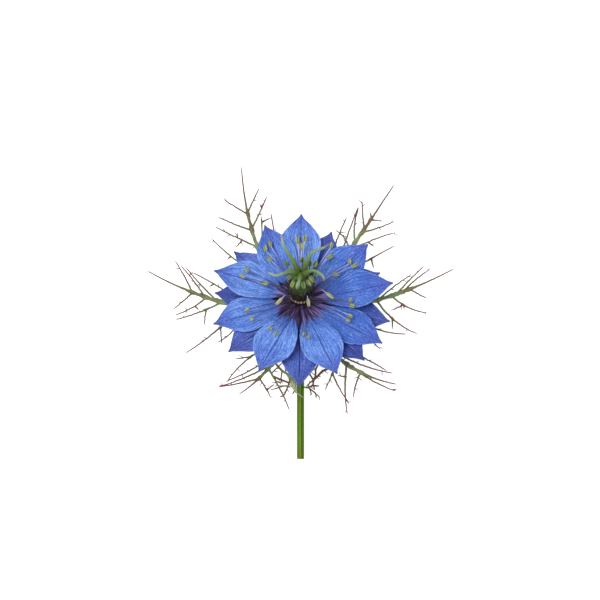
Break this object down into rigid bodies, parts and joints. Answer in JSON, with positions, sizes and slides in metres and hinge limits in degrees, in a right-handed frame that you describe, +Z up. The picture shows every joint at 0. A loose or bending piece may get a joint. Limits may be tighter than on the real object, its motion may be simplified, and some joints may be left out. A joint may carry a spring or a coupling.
{
  "type": "nigella flower",
  "caption": "Double blue love-in-a-mist bloom with its thread-like bracts and a short ridged stem, cut and laid down on a flat surface.",
  "frame": {"origin": "on the surface the flower lies on, under the middle of its bounding box, which is almost under the middle of the bloom", "axes": "+Z up from the surface; -Y along the lying stem to its cut end; +X to the right, seen from above with the stem towards the viewer"},
  "size_m": [0.0792, 0.0762, 0.0348],
  "materials": {
    "sepal_blue_inner": "soft satin petal surface",
    "sepal_blue_outer": "soft satin petal surface",
    "stem_green": "smooth, faintly waxy",
    "bract_olive": "smooth, matte",
    "stamen_green": "matte",
    "pistil_green": "smooth, matte"
  },
  "bodies": {
    "root": {"stem": "stem_green", "bract_upper_left": "bract_olive", "bract_upper_right": "bract_olive", "bract_left": "bract_olive", "bract_right": "bract_olive", "bract_lower_left": "bract_olive", "bract_lower_right": "bract_olive", "leaf_left": "bract_olive", "leaf_right": "bract_olive", "sepal_inner_1": "sepal_blue_inner", "sepal_inner_2": "sepal_blue_inner", "sepal_inner_3": "sepal_blue_inner", "sepal_inner_4": "sepal_blue_inner", "sepal_inner_5": "sepal_blue_inner", "sepal_inner_6": "sepal_blue_inner", "sepal_inner_7": "sepal_blue_inner", "sepal_inner_8": "sepal_blue_inner", "sepal_inner_9": "sepal_blue_inner", "sepal_outer_1": "sepal_blue_outer", "sepal_outer_2": "sepal_blue_outer", "sepal_outer_3": "sepal_blue_outer", "sepal_outer_4": "sepal_blue_outer", "sepal_outer_5": "sepal_blue_outer", "sepal_outer_6": "sepal_blue_outer", "sepal_outer_7": "sepal_blue_outer", "sepal_outer_8": "sepal_blue_outer", "stamens_1": "stamen_green", "stamens_2": "stamen_green", "stamens_3": "stamen_green", "stamens_4": "stamen_green", "stamens_5": "stamen_green", "stamens_6": "stamen_green", "stamens_7": "stamen_green", "stamens_8": "stamen_green", "stamens_9": "stamen_green", "stamens_10": "stamen_green", "stamens_inner": "stamen_green", "pistil": "pistil_green"}
  },
  "joints": []
}
